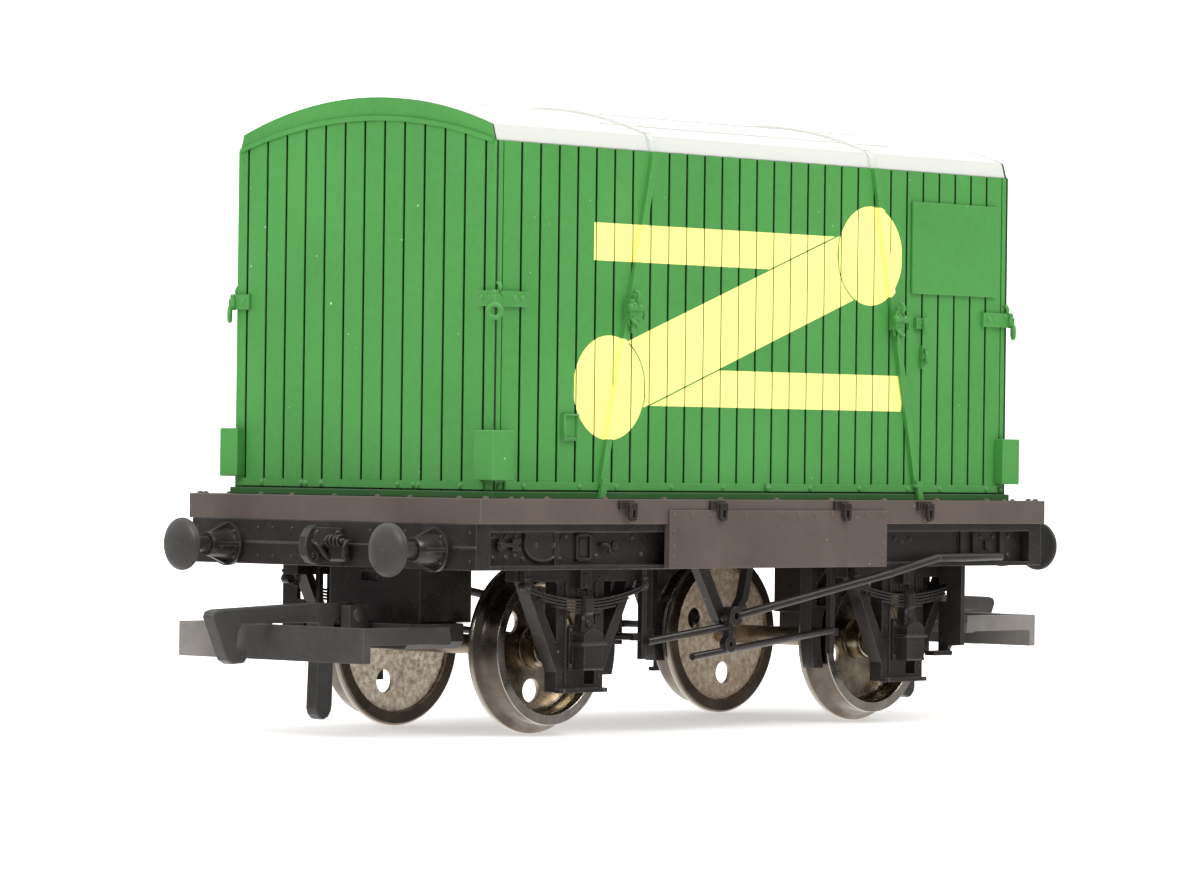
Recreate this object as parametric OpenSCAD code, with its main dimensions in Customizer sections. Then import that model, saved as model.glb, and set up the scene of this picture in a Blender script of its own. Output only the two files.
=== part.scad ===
// Model railway wagon: a four-wheel container flat carrying a planked,
// arched-roof container. Millimetres. +X runs along the wagon, end A is at -X,
// the near side is at -Y, +Z is up and z = 0 is the bottom of the wheel flanges.

/* [Deck] */
// Length of the deck over its ends
deck_l = 70; // [68:0.5:72]
// Width of the deck
deck_w = 32.8; // [32:0.1:34]
// Height of the deck's underside above the flange bottoms
deck_z0 = 16.93; // [16.5:0.01:17.2]
// Height of the deck's top above the flange bottoms
deck_z1 = 18.91; // [18.5:0.01:19.5]
// Half length of the brown plate on each long side
plate_hl = 13.5; // [10:0.5:14]
// Lower edge of the brown side plates
plate_z0 = 13.37; // [12.8:0.01:14]

/* [Underframe] */
// Lower edge of solebars and headstocks
sole_z0 = 13.35; // [13:0.01:14]
// Half width over the headstocks
head_hw = 16; // [15:0.1:16.4]
// Half width over the solebar webs
web_hw = 15; // [14.6:0.1:15.4]
// Distance from the wagon's centre to each axle
axle_x = 20; // [19:0.5:21]
// Height of the axle centres
axle_z = 7; // [6.8:0.1:7.2]
// Half width over the W-iron plates
iron_hw = 13; // [12.8:0.1:13.4]
// Thickness of the W-iron plates
iron_t = 1.3; // [0.8:0.1:1.3]

/* [Wheels] */
// Radius over the flange
flange_r = 7; // [6.8:0.1:7.2]
// Radius of the tread beside the flange
tread_r = 6.3; // [6.1:0.05:6.4]
// Half the distance between the wheel backs
back_y = 7.25; // [7.1:0.05:7.4]
// Distance from the centre line to the outer faces of the tyres
face_y = 9.9; // [9.6:0.1:10.2]
// Radius of the axle
axle_r = 0.8; // [0.6:0.05:1]
// Radius of the axle journals
journal_r = 0.5; // [0.4:0.05:0.6]
// Radial running clearance of journals and coupling pins
run_fit = 0.05; // [0.02:0.01:0.08]
// Radius of the three holes in each wheel disc
disc_hole_r = 0.95; // [0.7:0.05:1.1]

/* [Container] */
// Half length over the end walls
box_hl = 31.75; // [30:0.05:32.5]
// Half width over the side walls
box_hw = 14.5; // [14:0.05:15]
// Height of the top of the side walls
eave_z = 46.64; // [45:0.02:48]
// Height of the roof's crown
crown_z = 50.48; // [49.5:0.02:51.5]
// Radius of the roof's arch
arch_r = 39.45; // [38:0.05:41]
// Thickness of walls and roof
wall_t = 1; // [0.8:0.05:1.3]
// Spacing of the plank joints on the sides
side_pitch = 2.137; // [2.1:0.001:2.16]
// Spacing of the plank joints on the ends
end_pitch = 2.226; // [2.2:0.001:2.25]
// Width of a plank joint at the surface
joint_w = 0.26; // [0.15:0.01:0.35]
// Depth of a plank joint
joint_d = 0.22; // [0.1:0.01:0.35]

/* [Couplings] */
// Distance from the wagon's centre to the front of each coupling bar
bar_x = 41.5; // [40:0.1:42]
// Half width of a coupling bar
bar_hw = 10.4; // [10:0.1:11]
// Distance from the wagon's centre to each hook's pivot
pivot_x = 33.5; // [33:0.1:34]
// Height of the hook pivots
pivot_z = 9.6; // [9.4:0.1:9.8]
// Thickness of the hooks
hook_t = 1.2; // [0.8:0.1:1.3]

/* [Hidden] */
$fn = 48;
brown = [0.27, 0.22, 0.21];
black = [0.10, 0.10, 0.11];
grey = [0.19, 0.20, 0.22];
green = [0.09, 0.42, 0.14];
rim_z = axle_z;
side_n = 15;
seam_x = (side_n - 0.5) * side_pitch;
end_n = 6;

// ---- helpers -------------------------------------------------------------
// A round bar of radius r from point p to point q
module rod(p, q, r) {
  d = q - p;
  len = norm(d);
  translate(p) rotate([0, acos(d[2] / len), atan2(d[1], d[0])]) cylinder(h = len, r = r);
}
// Extrudes a drawing made in X and Z between two values of y
module slab_y(y0, y1) {
  translate([0, y1, 0]) rotate([90, 0, 0]) linear_extrude(y1 - y0) children();
}
// Extrudes a drawing made in Y and Z between two values of x
module slab_x(x0, x1) {
  translate([x0, 0, 0]) rotate([90, 0, 90]) linear_extrude(x1 - x0) children();
}
module box(a, b) { translate(a) cube(b - a); }
// A polygon drawn anticlockwise whichever way its points run
function turn(p) = let (n = len(p)) sum([for (i = [0:n - 1]) p[i][0] * p[(i + 1) % n][1] - p[(i + 1) % n][0] * p[i][1]]);
function sum(v, i = 0) = i < len(v) ? v[i] + sum(v, i + 1) : 0;
module poly(p) { polygon(turn(p) < 0 ? [for (i = [len(p) - 1:-1:0]) p[i]] : p); }
module both_sides() { children(); rotate([0, 0, 180]) children(); }
module far() { rotate([0, 0, 180]) children(); }

// ---- deck ----------------------------------------------------------------
module deck() {
  color(brown) box([-deck_l / 2, -deck_w / 2, deck_z0], [deck_l / 2, deck_w / 2, deck_z1]);
}
module side_plate() {
  color(brown) union() {
    box([-plate_hl, -deck_w / 2 - 0.2, plate_z0], [plate_hl, -deck_w / 2, 18.05]);
    box([-plate_hl, -deck_w / 2 - 0.1, plate_z0], [plate_hl, -16.02, deck_z0]);
  }
}
// A pressed plate with a hanging ring, on the edge of the deck
module tie_ring(x) {
  y = -deck_w / 2;
  translate([x, y, 0]) {
    box([-0.95, -0.3, 18.07], [0.75, 0, 18.8]);
    translate([0.3, -0.3, 17.6]) rotate([90, 0, 0]) difference() {
      union() {
        cylinder(h = 0.3, r = 0.45);
        translate([-0.45, 0, 0]) cube([0.9, 1.05, 0.3]);
      }
      translate([0, 0, -1]) cylinder(h = 3, r = 0.18);
      translate([-0.18, 0, -1]) cube([0.36, 0.5, 3]);
    }
  }
}
module tie_rings() {
  color(brown * 0.6) both_sides() for (x = [-18.5, -7.7, 7.7, 18.5]) tie_ring(x);
}

// ---- underframe ----------------------------------------------------------
module headstock() {
  color(black) union() {
    box([-deck_l / 2, -head_hw, sole_z0], [-deck_l / 2 + 1.6, head_hw, deck_z0]);
    for (y = [[-head_hw, -13.4], [-9.8, -1.55], [1.55, 9.8], [13.4, head_hw]])
      box([-deck_l / 2 - 0.1, y[0], 15.05], [-deck_l / 2 + 1, y[1], 15.17]);
  }
}
// A channel with its open side outwards, and the plates riveted on its web
module solebar() {
  x0 = deck_l / 2 - 1.6;
  color(black) union() {
    slab_x(-x0, x0) poly([[-head_hw, deck_z0], [-14.2, deck_z0], [-14.2, sole_z0],
      [-head_hw, sole_z0], [-head_hw, 13.7], [-web_hw, 13.7], [-web_hw, 16.3], [-head_hw, 16.3]]);
    for (s = [-1, 1]) box([s * 25.2 - 0.25, -web_hw - 0.25, 13.7], [s * 25.2 + 0.25, -web_hw, 16.3]);
  }
}
module underframe_floor() {
  color(black) union() {
    box([-33.4, -14.2, 15.6], [33.4, 14.2, deck_z0]);
    for (x = [-31, -9, 9, 31]) box([x - 0.5, -14.2, 14.4], [x + 0.5, 14.2, 15.6]);
    for (y = [-4, 4]) box([-33.4, y - 0.5, 14.4], [33.4, y + 0.5, 15.6]);
  }
}
// Steel weight carried between the underframe's longitudinal ribs
module ballast_weight() {
  color([0.45, 0.45, 0.47]) box([-8.4, -3.4, 14.1], [8.4, 3.4, 15.6]);
}
// One W-iron plate, drawn about its axle, in X and Z
module w_iron_plate() {
  t = sole_z0 - axle_z;
  difference() {
    union() {
      for (s = [-1, 1]) {
        poly([[s * 1.7, t], [s * 2.7, t], [s * 2.7, -2.9], [s * 1.7, -2.9]]);
        poly([[s * 6.05, t], [s * 6.85, t], [s * 2.7, -1.8], [s * 2.5, -1.8], [s * 2.5, 0.1]]);
      }
      translate([-2.7, -3.4]) square([5.4, 0.6]);
      translate([-2.2, -1.6]) square([4.4, 3.2]);
      translate([-1.8, 3.9]) square([3.6, t - 3.9]);
      translate([-1.8, -2.9]) square([2.35, 1.4]);
      translate([-7.3, t - 1]) square([14.6, 1]);
    }
    circle(r = journal_r + run_fit);
  }
}
module w_iron(x) {
  color(black) translate([x, 0, axle_z])
    union() {
      slab_y(-iron_hw, -iron_hw + iron_t) w_iron_plate();
      box([-2.75, -iron_hw - 0.5, -3.45], [2.75, -iron_hw + 0.1, -3.1]);
    }
}
// Axlebox with its cover and a blind bore for the journal
module axlebox(x) {
  translate([x, 0, axle_z]) difference() {
    union() {
      box([-1.5, -13.25, -1.65], [1.5, -iron_hw, 1.9]);
      box([-1.1, -14.5, -1.65], [1.1, -iron_hw, 1.2]);
      slab_y(-14.5, -iron_hw) intersection() {
        translate([0, 0.1]) circle(r = 1.5);
        translate([-1.1, 0]) square([2.2, 2]);
      }
      box([-1.4, -14.62, 0.3], [1.4, -iron_hw, 0.55]);
      slab_y(-13.85, -iron_hw) poly([[-0.75, 1.3], [0.75, 1.3], [0.6, 2.7], [-0.6, 2.7]]);
    }
    translate([0, -iron_hw - 0.55, 0]) rotate([-90, 0, 0]) cylinder(h = 2, r = journal_r + run_fit);
  }
}
module axleboxes() {
  color(black) both_sides() for (s = [-1, 1]) axlebox(s * axle_x);
}
// One leaf as an arc band between -h and h, its ends e above its middle
function leaf(h, e, z, t, n) = concat(
  [for (i = [0:n]) let (x = -h + 2 * h * i / n) [x, z + e * x * x / (h * h)]],
  [for (i = [n:-1:0]) let (x = -h + 2 * h * i / n) [x, z + t + e * x * x / (h * h)]]);
module leaf_spring(x) {
  translate([x, 0, 0]) union() {
    slab_y(-13.65, -13.05) for (l = [[6.75, 10.8], [6.5, 10.55], [5.0, 10.3], [3.45, 10.05], [1.8, 9.82]])
      poly(leaf(l[0], 0.0235 * l[0] * l[0], l[1], 0.15, 14));
    box([-0.56, -13.9, 9.7], [0.56, -iron_hw, 11.15]);
    for (s = [-1, 1]) {
      translate([s * 6.8, -13.75, 12.0]) rotate([-90, 0, 0]) cylinder(h = 0.75, r = 0.4);
      box([s * 6.8 - 0.25, -13.65, 12.0], [s * 6.8 + 0.25, -13.05, sole_z0]);
    }
    box([-0.6, -13.6, 11.8], [0.6, -iron_hw, sole_z0]);
  }
}
module leaf_springs() {
  color(black) both_sides() for (s = [-1, 1]) leaf_spring(s * axle_x);
}

// ---- buffers and drawgear, drawn for end A -------------------------------
module buffer_housing(y) {
  translate([-deck_l / 2, y, 14.9]) rotate([0, -90, 0]) union() {
    cylinder(h = 0.45, r = 1.75);
    cylinder(h = 2.6, r1 = 1.3, r2 = 0.95);
    for (a = [0:90:270]) rotate([0, 0, a])
      translate([0, 0.15, 0]) rotate([90, 0, 0]) linear_extrude(0.3)
        poly([[0, 0.2], [1.65, 0.2], [1.65, 0.5], [0.9, 2.4], [0, 2.4]]);
  }
}
module buffer_housings() { color(black) for (y = [-11.6, 11.6]) buffer_housing(y); }
module buffer_head(y) {
  translate([-deck_l / 2 - 2.6, y, 14.9]) rotate([0, -90, 0]) rotate_extrude()
    poly([[0, 0], [0.62, 0], [0.62, 2.0], [1.2, 2.25], [2.0, 2.4], [2.1, 2.5], [2.1, 2.62],
      for (i = [0:8]) [2.0 * cos(i * 11.25), 2.66 + 0.5 * sin(i * 11.25)]]);
}
module buffer_heads() { color(grey) for (y = [-11.6, 11.6]) buffer_head(y); }
// Moulded draw hook with its screw coupling folded up against the beam
module draw_hook() {
  translate([-deck_l / 2, 0, 0]) {
    box([-0.35, -1.5, 13.6], [0, 1.5, 16.4]);
    slab_y(-0.42, 0.42) difference() {
      poly([[-0.3, 14.0], [-1.6, 13.5], [-2.4, 13.65], [-2.95, 14.2], [-3.15, 14.95], [-3.0, 15.7],
        [-2.55, 16.35], [-1.95, 16.65], [-2.25, 15.8], [-2.25, 15.2], [-1.9, 14.85], [-0.3, 15.4]]);
      translate([-2.1, 14.2]) circle(r = 0.28);
    }
  }
}
module draw_hooks() { color(black) both_sides() draw_hook(); }
module coupler_box() {
  color(black) difference() {
    box([-30.1, -5.1, 8.9], [-24.2, 5.1, 14.4]);
    box([-31, -0.2, 12.2], [-29.6, 1.5, 12.9]);
  }
}
// A loop with a deep front bar, two arms, a back bar and the hook's bracket
module coupling_frame() {
  color(grey) difference() {
    union() {
      box([-bar_x, -bar_hw, 6.1], [-bar_x + 0.8, bar_hw, 8.85]);
      for (s = [-1, 1]) box([-bar_x + 0.1, min(s * bar_hw, s * (bar_hw - 0.8)), 7.5],
        [-32, max(s * bar_hw, s * (bar_hw - 0.8)), 8.85]);
      box([-33, -bar_hw, 7.4], [-31.9, bar_hw, 8.3]);
      box([-34.5, -1.9, 7.2], [-31, 1.9, 8.3]);
      box([-31.9, -5.8, 6.9], [-25.8, 5.8, 8.9]);
      for (s = [-1, 1]) box([-34.5, min(s * 0.75, s * 1.75), 8.2], [-32.4, max(s * 0.75, s * 1.75), 10.3]);
      translate([-pivot_x, -1.75, pivot_z]) rotate([-90, 0, 0]) cylinder(h = 3.5, r = journal_r);
      box([-32.4, -1.75, 8.2], [-31, 1.75, 8.9]);
    }
    for (s = [-1, 1]) translate([-29, s * 5.8, 6.9]) rotate([45, 0, 0]) cube([8, 0.8, 0.8], center = true);
  }
}
// The flat hook and its drop arm, cut from one plate
module coupling_hook() {
  color(grey) slab_y(-hook_t / 2, hook_t / 2) difference() {
    union() {
      poly([[-48.15, 9.55], [-47.95, 9.95], [-47.4, 10.1], [-37.0, 10.5], [-33.9, 10.45],
        [-33.9, 8.85], [-35.0, 8.9], [-35.05, 6.5], [-35.15, 2.4], [-35.25, 1.95], [-35.55, 1.5],
        [-36.0, 1.3], [-36.45, 1.4], [-36.8, 1.75], [-36.95, 2.2], [-36.8, 5.8], [-36.75, 8.95], [-44.95, 8.95],
        [-45.35, 8.3], [-45.5, 7.12], [-44.62, 7.12], [-44.35, 6.8], [-44.35, 6.3], [-44.7, 5.9],
        [-45.9, 5.85], [-46.5, 6.15], [-46.8, 6.7]]);
      translate([-pivot_x, pivot_z]) circle(r = 1);
    }
    translate([-pivot_x, pivot_z]) circle(r = journal_r + run_fit);
  }
}

// ---- brake gear, drawn for the near side ---------------------------------
module v_hanger() {
  slab_y(-13.1, -12.3) union() {
    poly([[-6.2, sole_z0], [-4.9, sole_z0], [-2.3, 8.9], [-3.3, 8.6]]);
    poly([[0.0, sole_z0], [0.65, sole_z0], [0.1, 10.8], [-0.9, 9.6], [-2.4, 8.5], [-3.1, 9.0], [-1.4, 9.9], [-0.6, 10.9]]);
    translate([-2.8, 9.1]) circle(r = 0.75);
  }
}
module v_hangers() { color(black) both_sides() v_hanger(); }
// A shoe curved to the tread, its hanger, and the safety strap outside it
module brake_shoe(s) {
  translate([s * axle_x, 0, axle_z]) {
    slab_y(-9.6, -8.4) intersection() {
      difference() { circle(r = tread_r + 1.5); circle(r = tread_r + 0.35); }
      translate([s > 0 ? -9 : 3, -2.3]) square([6, 5.2]);
    }
    box([s * -7.6 - 0.35, -9.6, 0.4], [s * -7.6 + 0.35, -8.4, sole_z0 - axle_z]);
    box([s * -8.3 - 0.25, -12.3, -1], [s * -8.3 + 0.25, -11.8, sole_z0 - axle_z]);
    rod([s * -7.6, -11.9, 0.8], [s * -7.6, -8.5, 0.8], 0.3);
    box([s * -8.3 - 0.05, -12.1, 0.5], [s * -7.6 + (s > 0 ? 0.3 : -0.3), -11.7, 1.1]);
  }
}
module brake_shoes() { color(black) both_sides() for (s = [-1, 1]) brake_shoe(s); }
module brake_rod() {
  rod([-11.7, -12.66, 7.45], [-3.0, -13.45, 8.55], 0.32);
  rod([-7.2, -13.5, 6.15], [11.2, -12.66, 8.0], 0.3);
  slab_y(-13.8, -13.1) difference() {
    union() {
      translate([-2.8, 9.4]) circle(r = 0.75);
      translate([-2.8, 7.1]) circle(r = 0.65);
      translate([-3.05, 7.3]) square([0.5, 1.8]);
    }
    translate([-2.8, 9.4]) circle(r = 0.3);
    translate([-2.8, 7.1]) circle(r = 0.25);
  }
}
module brake_rods() { color(black) both_sides() brake_rod(); }
module brake_lever() {
  color(black) union() {
    rod([-2.4, -14.2, 9.45], [14.2, -16.42, 12.81], 0.36);
    translate([14.2, -16.42, 12.81]) sphere(r = 0.365);
    rod([14.2, -16.42, 12.81], [20.3, -16.42, 14.05], 0.36);
    translate([20.3, -16.42, 14.05]) sphere(r = 0.37);
    rod([20.3, -16.42, 14.05], [28.9, -16.42, 14.15], 0.36);
    slab_y(-14.4, -13.8) difference() {
      translate([-2.8, 9.4]) circle(r = 0.8);
      translate([-2.8, 9.4]) circle(r = 0.3);
    }
  }
}
module lever_guard() {
  slab_x(24.8, 25.3) difference() {
    poly([[-15.5, sole_z0], [-13.02, sole_z0], [-13.02, 6], [-13.9, 6], [-14.2, 6.5], [-15.5, 6.6]]);
    poly([[-13.85, 10.3], [-13, 10.3], [-13, 11.8], [-13.85, 11.8]]);
  }
  box([22.9, -14.2, 5.7], [25.3, -13.1, 6.1]);
  box([24.8, -11.66, 6.0], [25.3, -11.2, sole_z0]);
}
module lever_guards() { color(black) both_sides() lever_guard(); }

// ---- wheels --------------------------------------------------------------
// Half section of one wheel: [radius, distance from the centre line]
function wheel_section() = [[axle_r, back_y + 0.35], [5.85, back_y + 0.35], [5.85, back_y],
  [6.75, back_y], [flange_r - 0.08, back_y + 0.12], [flange_r, back_y + 0.35],
  [flange_r - 0.08, back_y + 0.6], [6.6, back_y + 0.8], [tread_r + 0.08, back_y + 0.95],
  [tread_r, back_y + 1.1], [tread_r - 0.12, face_y], [5.4, face_y], [5.25, face_y - 0.2],
  [5.2, 8.25], [4.9, 8.0], [1.75, 8.0], [1.65, 8.2], [1.6, 9.5], [1.45, 9.6], [axle_r, 9.6]];
module wheel(x, s, a) {
  color([0.62, 0.58, 0.52]) translate([x, 0, axle_z]) difference() {
    rotate([s * 90, 0, 0]) rotate_extrude() poly(wheel_section());
    for (k = [0:2]) rotate([0, -(a + 120 * k), 0]) translate([3.5, 0, 0])
      rotate([s * 90, 0, 0]) translate([0, 0, 6]) cylinder(h = 4, r = disc_hole_r);
  }
}
module axle(x) {
  color([0.5, 0.47, 0.42]) translate([x, 0, axle_z]) rotate([-90, 0, 0]) rotate_extrude()
    poly([[0, -13.4], [0.2, -13.3], [journal_r, -13.0], [journal_r, -11.6], [axle_r, -11.3],
      [axle_r, 11.3], [journal_r, 11.6], [journal_r, 13.0], [0.2, 13.3], [0, 13.4]]);
}

// ---- container -----------------------------------------------------------
module container_base() {
  color(green * 0.75) union() {
    box([-box_hl - 0.3, -box_hw - 0.3, deck_z1], [box_hl + 0.3, box_hw + 0.3, 19.45]);
    box([-seam_x, -box_hw + wall_t, 19.45], [seam_x, box_hw - wall_t, 20.1]);
  }
}
// Plan of a planked side wall, outer face at -Y
function joint_cut(x) = [[x - joint_w / 2, -box_hw], [x - joint_w / 5, -box_hw + joint_d],
  [x + joint_w / 5, -box_hw + joint_d], [x + joint_w / 2, -box_hw]];
module container_side() {
  hx = seam_x;
  color(green) union() {
    translate([0, 0, 20.2]) linear_extrude(eave_z - 20.2) poly(concat(
      [[-hx, -box_hw + joint_d], [-hx + joint_w / 5, -box_hw + joint_d], [-hx + joint_w / 2, -box_hw]],
      [for (k = [-side_n + 1:side_n - 2], p = joint_cut((k + 0.5) * side_pitch)) p],
      [[hx - joint_w / 2, -box_hw], [hx - joint_w / 5, -box_hw + joint_d], [hx, -box_hw + joint_d],
        [hx, -box_hw + wall_t], [-hx, -box_hw + wall_t]]));
    box([-hx, -box_hw, 19.45], [hx, -box_hw + wall_t, 20.2]);
    box([-hx + 0.4, -box_hw - 0.2, 19.57], [-0.3, -box_hw + 0.1, 20.2]);
    box([0.3, -box_hw - 0.2, 19.57], [hx - 0.4, -box_hw + 0.1, 20.2]);
  }
}
module arch(r, top) { translate([0, top - r]) circle(r = r, $fn = 96); }
module end_outline() {
  intersection() {
    union() {
      translate([-box_hw, 19.45]) square([2 * box_hw, eave_z - 19.45]);
      poly([[-14.5, eave_z - 1], [-14.5, eave_z], [-14.3, eave_z + 0.1], [-13.75, 48.6], [-10, 52],
        [10, 52], [13.75, 48.6], [14.3, eave_z + 0.1], [14.5, eave_z], [14.5, eave_z - 1]]);
    }
    arch(arch_r, crown_z);
  }
}
module container_end() {
  color(green) difference() {
    union() {
      slab_x(-box_hl, -seam_x) end_outline();
      box([-box_hl - 0.2, -box_hw + 0.85, 19.57], [-box_hl + 0.1, box_hw - 0.85, 20.2]);
      slab_x(-box_hl - 0.2, -box_hl + 0.1) intersection() {
        difference() { arch(47.5, 49.0); arch(47.5, 48.62); }
        translate([-14.2, 40]) square([28.4, 10]);
      }
    }
    for (k = [-end_n:end_n]) translate([-box_hl, k * end_pitch, 0])
      linear_extrude(48.6 - (k * end_pitch) * (k * end_pitch) / 95)
        poly([[-0.01, -joint_w / 2], [joint_d, -joint_w / 5], [joint_d, joint_w / 5], [-0.01, joint_w / 2]]);
    box([-box_hl + 0.2, -box_hw, eave_z], [-20, box_hw, 60]);
  }
}
module roof_outline(drop) {
  intersection() {
    poly([[-14.28 + drop, eave_z - drop], [-14.28 + drop, eave_z + 0.1], [-13.75 + drop, 48.6], [-10, 52],
      [10, 52], [13.75 - drop, 48.6], [14.28 - drop, eave_z + 0.1], [14.28 - drop, eave_z - drop]]);
    arch(arch_r - drop, crown_z - drop);
  }
}
module container_roof() {
  hx = box_hl - 0.2;
  color([0.9, 0.91, 0.93]) union() {
    slab_x(-hx, hx) difference() { roof_outline(0); roof_outline(wall_t); }
    for (x = [-13.7, 13.7]) slab_x(x - 0.35, x + 0.35) intersection() {
      difference() { arch(arch_r + 0.22, crown_z + 0.22); arch(arch_r - 0.2, crown_z - 0.2); }
      translate([-13.85, eave_z + 0.8]) square([27.7, 6]);
    }
    for (x = [-13.7, 13.7]) for (s = [-1, 1]) slab_x(x - 0.35, x + 0.35)
      poly([[s * 14.2, eave_z], [s * 14.5, eave_z], [s * 14.3, 47.6], [s * 13.8, 48.18], [s * 13.5, 48.1], [s * 13.7, 47]]);
  }
}
module corner_blocks() {
  w = box_hw; l = box_hl;
  color(green) for (a = [[-1, -1], [1, -1], [1, 1], [-1, 1]]) scale_xy(a)
    difference() {
      box([l - 1.4, w - 1.15, 20.3], [l + 0.9, w + 0.9, 24.2]);
      box([l - 3, w - 3, 20], [l, w, 25]);
    }
}
module scale_xy(a) { mirror([a[0] < 0 ? 1 : 0, 0, 0]) mirror([0, a[1] < 0 ? 1 : 0, 0]) children(); }
// Plate round a corner, a hanging ring below it and an eye above it
module lifting_ring() {
  l = box_hl; w = box_hw;
  union() {
    difference() {
      box([l - 3.5, w - 1.65, 33.8], [l + 0.3, w + 0.3, 35.0]);
      box([l - 4, w - 3, 33], [l, w, 36]);
    }
    translate([l + 0.42, w + 0.42, 33.4]) rotate([0, 0, -45]) rotate([90, 0, 0])
      rotate_extrude() translate([0.5, 0]) circle(r = 0.2, $fn = 16);
    difference() {
      translate([l - 0.15, w - 0.15, 33.95]) cube([0.65, 0.65, 0.7]);
      box([l - 4, w - 3, 33], [l, w, 36]);
    }
  }
}
module lifting_rings() {
  color(green) for (a = [[-1, -1], [1, -1], [1, 1], [-1, 1]]) scale_xy(a) lifting_ring();
}
// One strap down a side wall, leaning outwards, with its ratchet
module load_strap(s) {
  function px(z) = 13.7 + (19.8 - 13.7) * (46.64 - z) / (46.64 - 18.95);
  slab_y(-box_hw - 0.35, -box_hw)
    poly([[s * (px(eave_z) - 0.3), eave_z], [s * (px(eave_z) + 0.3), eave_z],
      [s * (px(20.2) + 0.3), 20.2], [s * (px(20.2) - 0.3), 20.2]]);
  slab_y(-box_hw - 0.6, -box_hw - 0.3)
    poly([[s * (px(20.5) - 0.3), 20.5], [s * (px(20.5) + 0.3), 20.5],
      [s * (px(18.95) + 0.3), 18.95], [s * (px(18.95) - 0.3), 18.95]]);
  translate([s * px(34), -box_hw, 34]) {
    box([-0.5, -0.75, -0.8], [0.5, 0, 0.8]);
    rod([-0.7, -0.75, 0.1], [1.1, -0.75, 0.1], 0.25);
    rod([0, -0.7, -0.6], [0, -0.6, -1.9], 0.22);
  }
}
module load_straps() { color(green * 0.85) both_sides() for (s = [-1, 1]) load_strap(s); }
module notice_panels() {
  color(green) both_sides() box([18.7, -box_hw - 0.28, 36.33], [30.1, -box_hw, 44.1]);
}
// Label clip, hasp and hook plate on each side
module side_fitting() {
  difference() {
    box([-24.15, -box_hw - 0.25, 23.45], [-22.3, -box_hw, 25.55]);
    box([-23.85, -box_hw - 1, 23.75], [-22.6, -box_hw - 0.1, 26]);
  }
  box([20.05, -box_hw - 0.3, 30.0], [20.55, -box_hw, 32.0]);
  box([19.9, -box_hw - 0.55, 30.9], [20.7, -box_hw - 0.2, 31.3]);
  box([19.2, -box_hw - 0.35, 33.4], [21.0, -box_hw, 34.3]);
  rod([20.1, -box_hw - 0.5, 34.3], [20.1, -box_hw - 0.5, 33.0], 0.25);
}
module side_fittings() { color(green) both_sides() side_fitting(); }

// ---- assembly ------------------------------------------------------------
deck();
side_plate();  // side_plate_near
far() side_plate();  // side_plate_far
tie_rings();
headstock();  // headstock_a
far() headstock();  // headstock_b
solebar();  // solebar_near
far() solebar();  // solebar_far
underframe_floor();
ballast_weight();
w_iron(-axle_x);  // w_iron_a_near
far() w_iron(axle_x);  // w_iron_a_far
w_iron(axle_x);  // w_iron_b_near
far() w_iron(-axle_x);  // w_iron_b_far
axleboxes();
leaf_springs();
buffer_housings();  // buffer_housings_a
far() buffer_housings();  // buffer_housings_b
buffer_heads();  // buffer_heads_a
far() buffer_heads();  // buffer_heads_b
draw_hooks();
coupler_box();  // coupler_box_a
far() coupler_box();  // coupler_box_b
coupling_frame();  // coupling_frame_a
far() coupling_frame();  // coupling_frame_b
coupling_hook();  // coupling_hook_a
far() coupling_hook();  // coupling_hook_b
v_hangers();
brake_shoes();
brake_rods();
brake_lever();  // brake_lever_near
far() brake_lever();  // brake_lever_far
lever_guards();
axle(-axle_x);  // axle_a
wheel(-axle_x, 1, -95);  // wheel_a_near
wheel(-axle_x, -1, -110);  // wheel_a_far
axle(axle_x);  // axle_b
wheel(axle_x, 1, -157);  // wheel_b_near
wheel(axle_x, -1, -82);  // wheel_b_far
container_base();
container_side();  // container_side_near
far() container_side();  // container_side_far
container_end();  // container_end_a
far() container_end();  // container_end_b
container_roof();
corner_blocks();
lifting_rings();
load_straps();
notice_panels();
side_fittings();
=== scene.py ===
import math
import random

import bpy
from mathutils import Matrix, Vector


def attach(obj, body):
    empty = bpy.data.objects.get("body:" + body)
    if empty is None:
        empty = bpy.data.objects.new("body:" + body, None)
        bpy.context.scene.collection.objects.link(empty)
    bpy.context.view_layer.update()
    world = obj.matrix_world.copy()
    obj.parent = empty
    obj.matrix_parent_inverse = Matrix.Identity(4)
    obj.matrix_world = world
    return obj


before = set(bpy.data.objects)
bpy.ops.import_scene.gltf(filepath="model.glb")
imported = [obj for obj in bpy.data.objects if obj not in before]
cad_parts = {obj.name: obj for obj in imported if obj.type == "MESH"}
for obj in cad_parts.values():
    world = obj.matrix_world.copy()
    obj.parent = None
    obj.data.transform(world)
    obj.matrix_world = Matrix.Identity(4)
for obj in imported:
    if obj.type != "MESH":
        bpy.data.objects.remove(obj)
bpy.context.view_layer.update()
random.seed(7)
MM = 0.001


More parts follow.
